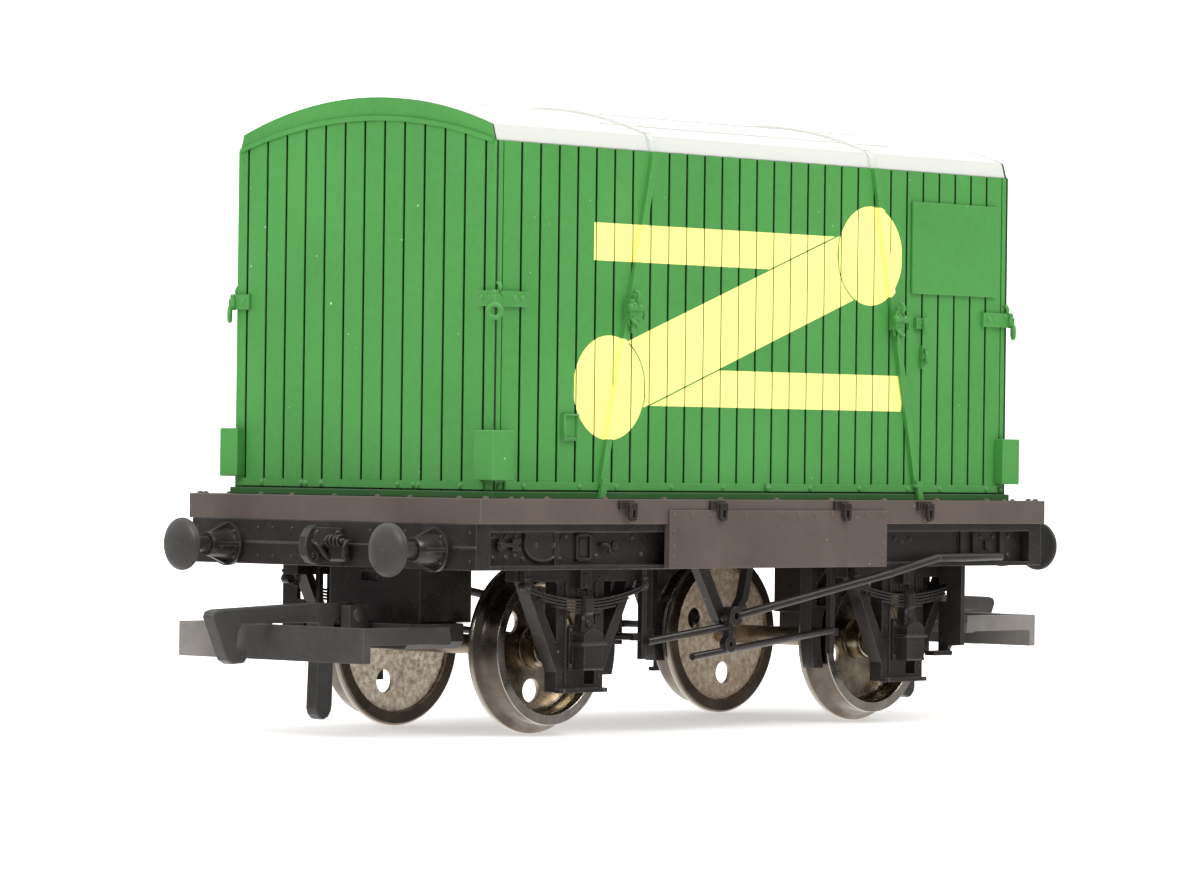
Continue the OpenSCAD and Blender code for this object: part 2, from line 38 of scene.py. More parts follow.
# ---------------------------------------------------------------------------
# Node materials. Every one works in the object's own coordinates, in metres.
# ---------------------------------------------------------------------------
class Mat:
    def __init__(self, name, rough, metallic=0.0, ior=1.5):
        self.mat = bpy.data.materials.new(name)
        self.mat.use_nodes = True
        self.tree = self.mat.node_tree
        self.bsdf = self.tree.nodes["Principled BSDF"]
        self.bsdf.inputs["Roughness"].default_value = rough
        self.bsdf.inputs["Metallic"].default_value = metallic
        self.bsdf.inputs["IOR"].default_value = ior
        self.coord = self.node("ShaderNodeTexCoord").outputs["Object"]
        split = self.node("ShaderNodeSeparateXYZ")
        self.link(self.coord, split.inputs[0])
        self.x, self.y, self.z = split.outputs[0], split.outputs[1], split.outputs[2]

    def node(self, kind, **props):
        n = self.tree.nodes.new(kind)
        for k, v in props.items():
            setattr(n, k, v)
        return n

    def link(self, a, b):
        self.tree.links.new(a, b)

    def put(self, value, socket):
        if isinstance(value, bpy.types.NodeSocket):
            self.link(value, socket)
        else:
            socket.default_value = value

    def math(self, op, a, b=0.0, clamp=False):
        n = self.node("ShaderNodeMath", operation=op, use_clamp=clamp)
        self.put(a, n.inputs[0])
        self.put(b, n.inputs[1])
        return n.outputs[0]

    def vec(self, x, y, z):
        n = self.node("ShaderNodeCombineXYZ")
        self.put(x, n.inputs[0]); self.put(y, n.inputs[1]); self.put(z, n.inputs[2])
        return n.outputs[0]

    def stretch(self, sx, sy, sz):
        n = self.node("ShaderNodeMapping")
        self.link(self.coord, n.inputs["Vector"])
        n.inputs["Scale"].default_value = (sx, sy, sz)
        return n.outputs[0]

    def noise(self, scale, detail=3.0, rough=0.55, vector=None, distortion=0.0):
        n = self.node("ShaderNodeTexNoise")
        self.link(vector if vector is not None else self.coord, n.inputs["Vector"])
        n.inputs["Scale"].default_value = scale
        n.inputs["Detail"].default_value = detail
        n.inputs["Roughness"].default_value = rough
        n.inputs["Distortion"].default_value = distortion
        return n.outputs["Fac"]

    def specks(self, scale, size, share):
        """Small round specks, one in some of the cells of a grid of cells."""
        n = self.node("ShaderNodeTexVoronoi")
        self.link(self.coord, n.inputs["Vector"])
        n.inputs["Scale"].default_value = scale
        sep = self.node("ShaderNodeSeparateColor")
        self.link(n.outputs["Color"], sep.inputs[0])
        near = self.math("LESS_THAN", n.outputs["Distance"], self.math("MULTIPLY", sep.outputs[1], size))
        return self.math("MULTIPLY", near, self.math("LESS_THAN", sep.outputs[0], share))

    def range(self, v, a, b, lo=0.0, hi=1.0):
        n = self.node("ShaderNodeMapRange", clamp=True)
        self.put(v, n.inputs["Value"])
        n.inputs["From Min"].default_value = a
        n.inputs["From Max"].default_value = b
        n.inputs["To Min"].default_value = lo
        n.inputs["To Max"].default_value = hi
        return n.outputs["Result"]

    def ramp(self, fac, stops):
        n = self.node("ShaderNodeValToRGB")
        self.link(fac, n.inputs[0])
        e = n.color_ramp.elements
        while len(e) < len(stops):
            e.new(0.5)
        for i, (p, c) in enumerate(stops):
            e[i].position = p
            e[i].color = (*c, 1)
        return n.outputs[0]

    def mix(self, fac, a, b, blend="MIX"):
        n = self.node("ShaderNodeMix", data_type="RGBA", blend_type=blend)
        self.put(fac, n.inputs["Factor"])
        for v, s in ((a, n.inputs[6]), (b, n.inputs[7])):
            if isinstance(v, tuple):
                s.default_value = (*v, 1)
            else:
                self.link(v, s)
        return n.outputs[2]

    def edges(self, radius, lo=0.985, hi=0.80):
        """How far a rounded normal leans away from the flat one: 1 along hard edges, 0 on flats."""
        bev = self.node("ShaderNodeBevel", samples=4)
        bev.inputs["Radius"].default_value = radius
        geo = self.node("ShaderNodeNewGeometry")
        dot = self.node("ShaderNodeVectorMath", operation="DOT_PRODUCT")
        self.link(bev.outputs[0], dot.inputs[0])
        self.link(geo.outputs["Normal"], dot.inputs[1])
        return self.range(dot.outputs["Value"], lo, hi)

    def color(self, c):
        self.link(c, self.bsdf.inputs["Base Color"])

    def rough(self, fac, lo, hi):
        self.link(self.range(fac, 0.3, 0.7, lo, hi), self.bsdf.inputs["Roughness"])

    def bump(self, height, strength=0.3, distance=0.00003, last=None):
        n = self.node("ShaderNodeBump")
        n.inputs["Strength"].default_value = strength
        n.inputs["Distance"].default_value = distance
        self.link(height, n.inputs["Height"])
        if last is not None:
            self.link(last, n.inputs["Normal"])
        self.link(n.outputs[0], self.bsdf.inputs["Normal"])
        return n.outputs[0]


def lin(r, g, b):
    """Linear colour of an 8-bit sRGB one."""
    f = lambda c: c / 12.92 if c <= 0.04045 else ((c + 0.055) / 1.055) ** 2.4
    return tuple(f(v / 255.0) for v in (r, g, b))


def shade(c, k):
    return tuple(min(1.0, v * k) for v in c)


def painted(name, base, groove=None, speck_share=0.9, rough=(0.40, 0.50)):
    """Sprayed satin paint on moulded plastic, with dust specks, soft darker streaks of wear and a painted highlight
    along its edges.
    groove names the axis across whose face the plank joints run; with it the edges get no highlight, and painted shade
    goes into the plank grooves and under the base rail."""
    m = Mat(name, 0.45)
    wide = m.noise(90, 3)
    fine = m.noise(1600, 4, 0.6)
    c = m.ramp(wide, [(0.3, shade(base, 0.92)), (0.7, shade(base, 1.09))])
    c = m.mix(m.range(fine, 0.35, 0.75, 0, 0.4), c, shade(base, 1.22))
    streak = m.noise(420, 3, 0.6, m.stretch(1, 1, 0.12))
    c = m.mix(m.range(streak, 0.55, 0.8, 0, 0.22), c, shade(base, 0.8))
    c = m.mix(m.math("MULTIPLY", m.specks(520, 0.07, speck_share), 0.75), c, shade(tuple(0.6 * v + 0.35 for v in base), 1.2))
    if groove:
        # painted shade: a near-black line at the base rail's foot, z 19.45 to 19.57 mm
        slot = m.math("MULTIPLY", m.range(m.z, 19.4 * MM, 19.45 * MM), m.range(m.z, 19.57 * MM, 19.6 * MM, 1, 0))
        c = m.mix(m.math("MULTIPLY", slot, 0.9), c, shade(base, 0.06))
        # painted shade: the plank grooves' insides, 0.07 to 0.25 mm below the face, near black
        d, face = {"y": (m.y, 14.5), "x": (m.x, 31.75)}[groove]
        depth = m.math("SUBTRACT", face * MM, m.math("ABSOLUTE", d))
        inside = m.math("MULTIPLY", m.range(depth, 0.02 * MM, 0.07 * MM), m.range(depth, 0.25 * MM, 0.28 * MM, 1, 0))
        c = m.mix(m.math("MULTIPLY", inside, 0.95), c, shade(base, 0.04))
    else:
        # painted highlight: lighter along edges, from a bevel-rounded normal
        c = m.mix(m.math("MULTIPLY", m.edges(0.16 * MM), 0.5), c, shade(tuple(0.8 * v + 0.10 for v in base), 1.15))
    m.color(c)
    m.rough(wide, *rough)
    m.bump(fine, 0.25, 0.00002)
    return m


def moulded(name, base, rough=(0.34, 0.46), grain=2400, dust=0.12, lines=False, strength=0.35, painted_end_highlight=False, edge=0.75):
    """Injection-moulded plastic: a fine spark grain, greyish handling dust and a few pale specks."""
    m = Mat(name, 0.4)
    wide = m.noise(150, 4, 0.6)
    fine = m.noise(grain, 3, 0.6)
    c = m.ramp(wide, [(0.3, shade(base, 0.86)), (0.72, shade(base, 1.14))])
    dusty = tuple(0.75 * v + 0.06 for v in base)
    c = m.mix(m.range(m.noise(520, 5, 0.7), 0.5, 0.85, 0, dust * 3), c, dusty)
    c = m.mix(m.math("MULTIPLY", m.specks(560, 0.06, 0.7), 0.6), c, tuple(v + 0.3 for v in base))
    if lines:
        p = m.math("PINGPONG", m.math("ADD", m.x, 35 * MM), 1.25 * MM)
        up = m.math("MULTIPLY", m.range(m.z, 18.88 * MM, 18.90 * MM), m.range(p, 0.05 * MM, 0.12 * MM, 1, 0))
        c = m.mix(m.math("MULTIPLY", up, 0.8), c, shade(base, 0.3))
    if painted_end_highlight:
        # painted highlight: the bar paler towards its far side at end A and its near side at end B, mottled by noise
        xy = m.math("MULTIPLY", m.math("MULTIPLY", m.x, m.y), -1.0)
        end_highlight_mask = m.math("MULTIPLY", m.range(xy, 0.0001, 0.00037, 0, 0.95), m.range(m.noise(330, 4, 0.6), 0.2, 0.6, 0.6, 1.0))
        c = m.mix(end_highlight_mask, c, (0.25, 0.235, 0.225))
    # painted highlight: lighter along edges, from a bevel-rounded normal
    c = m.mix(m.math("MULTIPLY", m.edges(0.13 * MM), edge), c, tuple(1.15 * v + 0.085 for v in base))
    m.color(c)
    m.rough(wide, *rough)
    m.bump(fine, strength, 0.00002)
    return m


def turned_wheel(name):
    """Cast grain on the disc's back, near white at its brightest as a painted reflection, dark turned tyre, bright ring
    at the rim's face, by radius about the axle.
    """
    m = Mat(name, 0.3, metallic=1.0)
    dx = m.math("SUBTRACT", m.math("ABSOLUTE", m.x), 20 * MM)
    dz = m.math("SUBTRACT", m.z, 7 * MM)
    r = m.math("SQRT", m.math("ADD", m.math("MULTIPLY", dx, dx), m.math("MULTIPLY", dz, dz)))
    ay = m.math("ABSOLUTE", m.y)
    mott = m.noise(2300, 4, 0.62)
    blot = m.noise(380, 4, 0.6)
    # disc's back: partly real mottled cast grain, partly a painted reflection in its near-white light end; below, this
    # surface is made almost non-metallic
    back = m.ramp(mott, [(0.30, (0.34, 0.26, 0.18)), (0.48, (0.80, 0.69, 0.54)), (0.64, (1.0, 0.95, 0.84))])
    back = m.mix(m.range(m.x, -1 * MM, 1 * MM, 0, 0.45), back, (0.46, 0.32, 0.21))
    back = m.mix(m.range(blot, 0.48, 0.75, 0, 0.5), back, (0.42, 0.29, 0.18))
    front = m.ramp(blot, [(0.32, (0.14, 0.105, 0.07)), (0.68, (0.70, 0.60, 0.46))])
    ring = m.ramp(blot, [(0.3, (0.10, 0.078, 0.062)), (0.7, (0.21, 0.17, 0.135))])
    tread = m.ramp(blot, [(0.3, (0.12, 0.095, 0.078)), (0.7, (0.26, 0.225, 0.185))])
    face = m.ramp(blot, [(0.3, (0.55, 0.50, 0.44)), (0.7, (0.86, 0.81, 0.73))])
    c = m.mix(m.range(ay, 7.8 * MM, 7.95 * MM), back, front)
    c = m.mix(m.math("MULTIPLY", m.range(r, 5.8 * MM, 5.87 * MM), m.range(ay, 7.5 * MM, 7.7 * MM, 1, 0)), c, ring)
    c = m.mix(m.math("MULTIPLY", m.range(r, 5.22 * MM, 5.3 * MM), m.range(ay, 7.6 * MM, 7.75 * MM)), c, tread)
    c = m.mix(m.math("MULTIPLY", m.range(r, 5.3 * MM, 5.36 * MM), m.range(ay, 9.8 * MM, 9.87 * MM)), c, face)
    c = m.mix(m.math("MULTIPLY", m.range(r, 6.86 * MM, 6.93 * MM), 0.6), c, (0.6, 0.55, 0.48))
    m.color(c)
    cast_face = m.math("MULTIPLY", m.range(r, 5.7 * MM, 5.8 * MM, 1, 0), m.range(ay, 7.8 * MM, 7.95 * MM, 1, 0))
    m.link(m.range(cast_face, 0, 1, 1.0, 0.1), m.bsdf.inputs["Metallic"])
    m.rough(mott, 0.20, 0.32)
    rings = m.math("SINE", m.math("MULTIPLY", r, 2 * math.pi / (0.16 * MM)))
    cast = m.math("MULTIPLY", m.range(r, 5.7 * MM, 5.8 * MM, 1.0, 0.05), m.range(ay, 7.8 * MM, 7.95 * MM, 1.0, 0.12))
    last = m.bump(m.math("MULTIPLY", mott, cast), 0.6, 0.00006)
    m.bump(rings, 0.12, 0.000012, last)
    return m


def dark_metal(name):
    m = Mat(name, 0.32, metallic=1.0)
    mott = m.noise(900, 5, 0.65)
    m.color(m.ramp(mott, [(0.3, (0.17, 0.13, 0.10)), (0.7, (0.46, 0.38, 0.29))]))
    m.rough(mott, 0.26, 0.4)
    m.bump(m.noise(700, 3, 0.6, m.stretch(1, 8, 1)), 0.25, 0.00002)
    return m


def rolled_steel(name):
    m = Mat(name, 0.38, metallic=1.0)
    grain = m.noise(900, 5, 0.7, m.stretch(0.12, 1, 1))
    blot = m.noise(260, 4, 0.6)
    c = m.ramp(grain, [(0.3, (0.30, 0.29, 0.28)), (0.7, (0.50, 0.49, 0.47))])
    m.color(m.mix(m.range(blot, 0.56, 0.75, 0, 0.5), c, (0.24, 0.15, 0.09)))
    m.rough(blot, 0.3, 0.5)
    m.bump(grain, 0.3, 0.00002)
    return m


def chalk_roof(name):
    """Matt white roof paint with light handling marks; its side strips darker and slightly cooler as painted shade, and
    darker along edges and creases.
    """
    m = Mat(name, 0.55)
    wide = m.noise(70, 4, 0.6)
    fine = m.noise(1300, 4, 0.65)
    c = m.ramp(wide, [(0.3, (0.70, 0.715, 0.68)), (0.7, (0.75, 0.765, 0.725))])
    c = m.mix(m.range(m.noise(330, 5, 0.7), 0.58, 0.85, 0, 0.3), c, (0.66, 0.68, 0.68))
    # painted shade: the side strips, past 13.5 mm out, darker and slightly cooler
    side = m.range(m.math("ABSOLUTE", m.y), 13.5 * MM, 13.8 * MM)
    c = m.mix(m.math("MULTIPLY", side, 0.8), c, (0.585, 0.615, 0.58))
    c = m.mix(m.math("MULTIPLY", m.specks(380, 0.05, 0.08), 0.5), c, (0.35, 0.36, 0.36))
    c = m.mix(m.math("MULTIPLY", m.edges(0.18 * MM, 0.99, 0.85), 0.75), c, (0.40, 0.42, 0.385))
    m.color(c)
    m.rough(wide, 0.5, 0.62)
    m.bump(fine, 0.3, 0.00002)
    return m


def printed(name, base):
    """Pad-printed ink: flat and slightly glossy, thin where the pad bridged the surface."""
    m = Mat(name, 0.42)
    wide = m.noise(160, 3)
    fine = m.noise(2200, 4, 0.6)
    c = m.ramp(wide, [(0.3, shade(base, 0.95)), (0.7, shade(base, 1.03))])
    c = m.mix(m.range(fine, 0.58, 0.78, 0, 0.3), c, shade((base[0] * 0.82, base[1], base[2] * 0.75), 0.92))
    c = m.mix(m.math("MULTIPLY", m.specks(460, 0.045, 0.07), 0.7), c, (0.25, 0.36, 0.12))
    m.color(c)
    m.rough(wide, 0.38, 0.48)
    m.bump(fine, 0.2, 0.00001)
    return m


GREEN = (0.060, 0.274, 0.055)
BROWN = (0.096, 0.074, 0.066)
BLACK = (0.0225, 0.0190, 0.0176)
GREY = (0.046, 0.0435, 0.0420)
CREAM = (1.0, 0.97, 0.29)

mats = {
    "green_paint": painted("green_paint", GREEN),
    "green_planks_side": painted("green_planks_side", GREEN, "y"),
    "green_planks_end": painted("green_planks_end", GREEN, "x"),
    # painted shade: the green paint at 40 %, for the container's base under the rail
    "dark_green_paint": painted("dark_green_paint", shade(GREEN, 0.40)),
    "brown_plastic": moulded("brown_plastic", BROWN, (0.42, 0.54), 2000, 0.14),
    "brown_deck": moulded("brown_deck", BROWN, (0.42, 0.54), 2000, 0.14, lines=True),
    "dark_brown": moulded("dark_brown", shade(BROWN, 0.24), (0.2, 0.34)),
    "black_plastic": moulded("black_plastic", BLACK, (0.20, 0.38), 2600, 0.10),
    "grey_plastic": moulded("grey_plastic", GREY, (0.32, 0.44), 1900, 0.16, strength=0.5),
    # coupling frames: grey plastic with a painted highlight towards one side at each end
    "grey_end_highlight": moulded("grey_end_highlight", GREY, (0.32, 0.44), 1900, 0.16, strength=0.5, painted_end_highlight=True),
    "roof_white": chalk_roof("roof_white"),
    "wheel_metal": turned_wheel("wheel_metal"),
    "axle_metal": dark_metal("axle_metal"),
    "steel_weight": rolled_steel("steel_weight"),
    "print_cream": printed("print_cream", CREAM),
}

# ---------------------------------------------------------------------------
# Carried-over CAD nodes: a finish, and edges softened as a moulding's are.
# ---------------------------------------------------------------------------
LOOK = {
    "deck": ("brown_deck", 0.06), "side_plate_near": ("brown_plastic", 0.05), "side_plate_far": ("brown_plastic", 0.05),
    "tie_rings": ("dark_brown", 0.06), "headstock_a": ("black_plastic", 0.05), "headstock_b": ("black_plastic", 0.05),
    "solebar_near": ("black_plastic", 0.05), "solebar_far": ("black_plastic", 0.05),
    "underframe_floor": ("black_plastic", 0.06), "ballast_weight": ("steel_weight", 0.12),
    "w_iron_a_near": ("black_plastic", 0.06), "w_iron_a_far": ("black_plastic", 0.06),
    "w_iron_b_near": ("black_plastic", 0.06), "w_iron_b_far": ("black_plastic", 0.06),
    "axleboxes": ("black_plastic", 0.1), "leaf_springs": ("black_plastic", 0.03),
    "buffer_housings_a": ("black_plastic", 0.05), "buffer_housings_b": ("black_plastic", 0.05),
    "buffer_heads_a": ("grey_plastic", 0), "buffer_heads_b": ("grey_plastic", 0),
    "draw_hooks": ("black_plastic", 0.1), "coupler_box_a": ("black_plastic", 0.12), "coupler_box_b": ("black_plastic", 0.12),
    "coupling_frame_a": ("grey_end_highlight", 0.1), "coupling_frame_b": ("grey_end_highlight", 0.1),
    "coupling_hook_a": ("grey_plastic", 0.14), "coupling_hook_b": ("grey_plastic", 0.14),
    "v_hangers": ("black_plastic", 0.06), "brake_shoes": ("black_plastic", 0.05), "brake_rods": ("black_plastic", 0.03),
    "brake_lever_near": ("black_plastic", 0.03), "brake_lever_far": ("black_plastic", 0.03),
    "lever_guards": ("black_plastic", 0.05),
    "axle_a": ("axle_metal", 0), "axle_b": ("axle_metal", 0),
    "wheel_a_near": ("wheel_metal", 0.03), "wheel_a_far": ("wheel_metal", 0.03),
    "wheel_b_near": ("wheel_metal", 0.03), "wheel_b_far": ("wheel_metal", 0.03),
    "container_base": ("dark_green_paint", 0.08),
    "container_side_near": ("green_planks_side", 0.03), "container_side_far": ("green_planks_side", 0.03),
    "container_end_a": ("green_planks_end", 0.03), "container_end_b": ("green_planks_end", 0.03),
    "container_roof": ("roof_white", 0.05), "corner_blocks": ("green_paint", 0.1), "lifting_rings": ("green_paint", 0.08),
    "load_straps": ("green_paint", 0.08), "notice_panels": ("green_paint", 0.08), "side_fittings": ("green_paint", 0.07),
}
for name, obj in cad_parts.items():
    look, width = LOOK[name]
    obj.data.materials.clear()
    obj.data.materials.append(mats[look].mat)
    weld = obj.modifiers.new("weld", "WELD")
    weld.merge_threshold = 2e-7
    if width:
        bev = obj.modifiers.new("edges", "BEVEL")
        bev.width = width * MM
        bev.segments = 2
        bev.limit_method = "ANGLE"
        bev.angle_limit = math.radians(38)
        bev.use_clamp_overlap = True
        bev.miter_outer = "MITER_ARC"
    wn = obj.modifiers.new("shading", "WEIGHTED_NORMAL")
    wn.mode = "FACE_AREA_WITH_ANGLE"
    wn.keep_sharp = True


# ---------------------------------------------------------------------------
# Mesh building for the added pieces, in millimetres.
# ---------------------------------------------------------------------------
class Build:
    def __init__(self):
        self.v, self.f, self.smooth = [], [], []

    def add(self, verts, faces, smooth=False):
        k = len(self.v)
        self.v += [tuple(p) for p in verts]
        self.f += [tuple(i + k for i in f) for f in faces]
        self.smooth += [smooth] * len(faces)

    def block(self, a, b, bevel=0.06):
        """A chamfered block between two corners."""
        lo = [min(a[i], b[i]) for i in range(3)]
        hi = [max(a[i], b[i]) for i in range(3)]
        c = min(bevel, 0.45 * min(hi[i] - lo[i] for i in range(3)))
        v, index = [], {}
        for sx in (0, 1):
            for sy in (0, 1):
                for sz in (0, 1):
                    for axis in range(3):
                        p = []
                        for i, s in enumerate((sx, sy, sz)):
                            edge = hi[i] if s else lo[i]
                            if i != axis:
                                edge += -c if s else c
                            p.append(edge)
                        index[sx, sy, sz, axis] = len(v)
                        v.append(p)
        f = []
        for axis in range(3):
            o = [i for i in range(3) if i != axis]
            for s in (0, 1):
                q = []
                for t in ((0, 0), (1, 0), (1, 1), (0, 1)):
                    key = [0, 0, 0]
                    key[axis], key[o[0]], key[o[1]] = s, t[0], t[1]
                    q.append(index[(*key, axis)])
                f.append(q)
            for t in ((0, 0), (1, 0), (1, 1), (0, 1)):
                key0, key1 = [0, 0, 0], [0, 0, 0]
                key0[axis], key1[axis] = 0, 1
                for key in (key0, key1):
                    key[o[0]], key[o[1]] = t
                f.append([index[(*key0, o[0])], index[(*key0, o[1])], index[(*key1, o[1])], index[(*key1, o[0])]])
        for sx in (0, 1):
            for sy in (0, 1):
                for sz in (0, 1):
                    f.append([index[sx, sy, sz, 0], index[sx, sy, sz, 1], index[sx, sy, sz, 2]])
        self.add(v, f)

    def rings(self, p, axis, profile, n=12, smooth=True, turn=0.0):
        """A turned shape: profile is [(radius, height along axis)], closed at both ends."""
        a = Vector(axis).normalized()
        u = a.orthogonal().normalized()
        w = a.cross(u)
        v, f = [], []
        for r, h in profile:
            for i in range(n):
                t = 2 * math.pi * i / n + turn
                v.append(Vector(p) + a * h + (u * math.cos(t) + w * math.sin(t)) * r)
        for k in range(len(profile) - 1):
            for i in range(n):
                j = (i + 1) % n
                f.append([k * n + i, k * n + j, (k + 1) * n + j, (k + 1) * n + i])
        f.append(list(range(n))[::-1])
        f.append([(len(profile) - 1) * n + i for i in range(n)])
        self.add(v, f, smooth)

    def rivet(self, p, axis, r=0.16, h=0.09):
        """A domed head whose foot is set just into the surface."""
        self.rings(p, axis, [(r * 1.05, -0.04), (r, 0.25 * h), (r * 0.82, 0.66 * h), (r * 0.45, 0.94 * h), (r * 0.12, h)], 10)

    def bolt(self, p, axis, r=0.22, h=0.2, turn=0.0):
        """A hexagonal head on a thin washer, with a bevelled top and the bolt's end standing in it."""
        self.rings(p, axis, [(r * 1.25, -0.04), (r * 1.25, 0.03), (r * 1.15, 0.05)], 12)
        self.rings(p, axis, [(r, 0.0), (r, 0.72 * h), (r * 0.8, 0.86 * h)], 6, False, turn)
        self.rings(p, axis, [(r * 0.45, 0.5 * h), (r * 0.45, h), (r * 0.3, h * 1.06)], 8)

    def tube(self, path, r, n=8, closed=False):
        pts = [Vector(p) for p in path]
        v, f = [], []
        m = len(pts)
        last = None
        for i, p in enumerate(pts):
            if closed:
                d = (pts[(i + 1) % m] - pts[i - 1]).normalized()
            else:
                d = (pts[min(i + 1, m - 1)] - pts[max(i - 1, 0)]).normalized()
            u = (last - d * last.dot(d)).normalized() if last is not None else d.orthogonal().normalized()
            last = u
            w = d.cross(u)
            rr = r[i] if isinstance(r, (list, tuple)) else r
            for k in range(n):
                t = 2 * math.pi * k / n
                v.append(p + (u * math.cos(t) + w * math.sin(t)) * rr)
        for i in range(m if closed else m - 1):
            j = (i + 1) % m
            for k in range(n):
                l = (k + 1) % n
                f.append([i * n + k, i * n + l, j * n + l, j * n + k])
        if not closed:
            f.append(list(range(n))[::-1])
            f.append([(m - 1) * n + k for k in range(n)])
        self.add(v, f, True)

    def ring(self, c, normal, R, r, n=20, m=8, squash=1.0):
        a = Vector(normal).normalized()
        u = Vector((0, 0, 1)) if abs(a.z) < 0.9 else Vector((1, 0, 0))
        u = (u - a * u.dot(a)).normalized()
        w = a.cross(u)
        self.tube([Vector(c) + u * math.cos(2 * math.pi * i / n) * R * squash + w * math.sin(2 * math.pi * i / n) * R for i in range(n)], r, m, True)

    def prism(self, outline, place, t0, t1):
        """An outline pushed along a direction: place(a, b, t) gives a point."""
        n = len(outline)
        v = [place(a, b, t0) for a, b in outline] + [place(a, b, t1) for a, b in outline]
        f = [list(range(n))[::-1], [n + i for i in range(n)]]
        f += [[i, (i + 1) % n, n + (i + 1) % n, n + i] for i in range(n)]
        self.add(v, f)

    def half_turn(self):
        """Adds the same again, turned half a turn about the vertical."""
        self.add([(-x, -y, z) for x, y, z in self.v], list(self.f))
        h = len(self.smooth) // 2
        self.smooth[h:] = self.smooth[:h]
        return self

    def mirror_x(self):
        """Adds the same again, mirrored end for end."""
        self.add([(-x, y, z) for x, y, z in self.v], [f[::-1] for f in self.f])
        h = len(self.smooth) // 2
        self.smooth[h:] = self.smooth[:h]
        return self

    def make(self, name, body, slot, look=None, bevel=0.0):
        mesh = bpy.data.meshes.new(name)
        mesh.from_pydata([(x * MM, y * MM, z * MM) for x, y, z in self.v], [], self.f)
        mesh.polygons.foreach_set("use_smooth", self.smooth)
        mesh.validate()
        mesh.materials.append(mats[look or slot].mat)
        o = bpy.data.objects.new(name, mesh)
        bpy.context.scene.collection.objects.link(o)
        bm_fix(mesh)
        if bevel:
            b = o.modifiers.new("edges", "BEVEL")
            b.width = bevel * MM
            b.segments = 2
            b.limit_method = "ANGLE"
            b.angle_limit = math.radians(38)
        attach(o, body)
        return o


def bm_fix(mesh):
    import bmesh
    bm = bmesh.new()
    bm.from_mesh(mesh)
    bmesh.ops.recalc_face_normals(bm, faces=bm.faces)
    bm.to_mesh(mesh)
    bm.free()


NEAR, UP, OUT_A = (0, -1, 0), (0, 0, 1), (-1, 0, 0)

# --- cream printing on the sides: bars, band and discs, without lettering ---
PITCH, LINE = 2.137, 0.06
DISC_A, DISC_B, DISC_R = (-18.6, 27.7), (13.4, 39.3), 4.15
SLOPE = (DISC_B[1] - DISC_A[1]) / (DISC_B[0] - DISC_A[0])
BAND_H = 2.8 * math.sqrt(1 + SLOPE * SLOPE)
GAP = 0.13


def disc_span(x, c, r):
    d = r * r - (x - c[0]) ** 2
    return (c[1] - math.sqrt(d), c[1] + math.sqrt(d)) if d > 0 else None


def band_span(x):
    m = DISC_A[1] + SLOPE * (x - DISC_A[0])
    return m - BAND_H, m + BAND_H


def print_shapes():
    """Each shape as (first x, last x, low(x), high(x))."""
    out = []
    for c in (DISC_A, DISC_B):
        out.append((c[0] - DISC_R, c[0] + DISC_R, lambda x, c=c: (disc_span(x, c, DISC_R) or (c[1], c[1]))[0],
                    lambda x, c=c: (disc_span(x, c, DISC_R) or (c[1], c[1]))[1]))
    x0, x1 = DISC_A[0], DISC_B[0]

    def over(x):
        """What of the band shows above the discs."""
        lo, hi = band_span(x)
        for c in (DISC_A, DISC_B):
            s = disc_span(x, c, DISC_R + GAP)
            if s and s[1] > lo:
                lo = max(lo, s[1]) if c is DISC_A or s[1] > lo else lo
        return min(lo, hi), hi

    def under(x):
        """What of the band shows below the discs, where a disc cuts it in two."""
        lo, hi = band_span(x)
        cut = False
        for c in (DISC_A, DISC_B):
            s = disc_span(x, c, DISC_R + GAP)
            if s:
                cut = True
                hi = min(hi, s[0])
        return (lo, max(lo, hi)) if cut else (lo, lo)

    out.append((x0, x1, lambda x: over(x)[0], lambda x: over(x)[1]))
    out.append((x0, x1, lambda x: under(x)[0], lambda x: under(x)[1]))

    def top_bar(x):
        lo = max(37.75, band_span(x)[1] + GAP) if x > DISC_A[0] else 37.75
        s = disc_span(x, DISC_B, DISC_R + GAP)
        hi = 40.75
        if s:
            hi = min(hi, s[0])
        return lo, max(lo, hi)

    def low_bar(x):
        hi = min(29.35, band_span(x)[0] - GAP)
        s = disc_span(x, DISC_A, DISC_R + GAP)
        lo = 26.35
        if s:
            lo = max(lo, s[1]) if s[1] < hi else hi
        if x > 17.61:
            lo = max(lo, 26.35 + (x - 17.61) / 0.43 * 3.0)
        return min(lo, hi), hi

    out.append((-20.55, 9.3, lambda x: top_bar(x)[0], lambda x: top_bar(x)[1]))
    out.append((-14.3, 17.85, lambda x: low_bar(x)[0], lambda x: low_bar(x)[1]))
    return out


def print_side():
    b = Build()
    y0, y1 = -14.495, -14.527
    for xa, xb, lo, hi in print_shapes():
        for k in range(-14, 15):
            pa, pb = max(xa, (k - 0.5) * PITCH + LINE), min(xb, (k + 0.5) * PITCH - LINE)
            if pb - pa < 0.01:
                continue
            n = max(2, int((pb - pa) / 0.07))
            cols = []
            for i in range(n + 1):
                x = pa + (pb - pa) * i / n
                a, c = lo(x), hi(x)
                cols.append((x, a, c))
            run = []
            for col in cols + [None]:
                if col and col[2] - col[1] > 0.015:
                    run.append(col)
                    continue
                if len(run) > 1:
                    strip(b, run, y0, y1)
                run = []
    return b


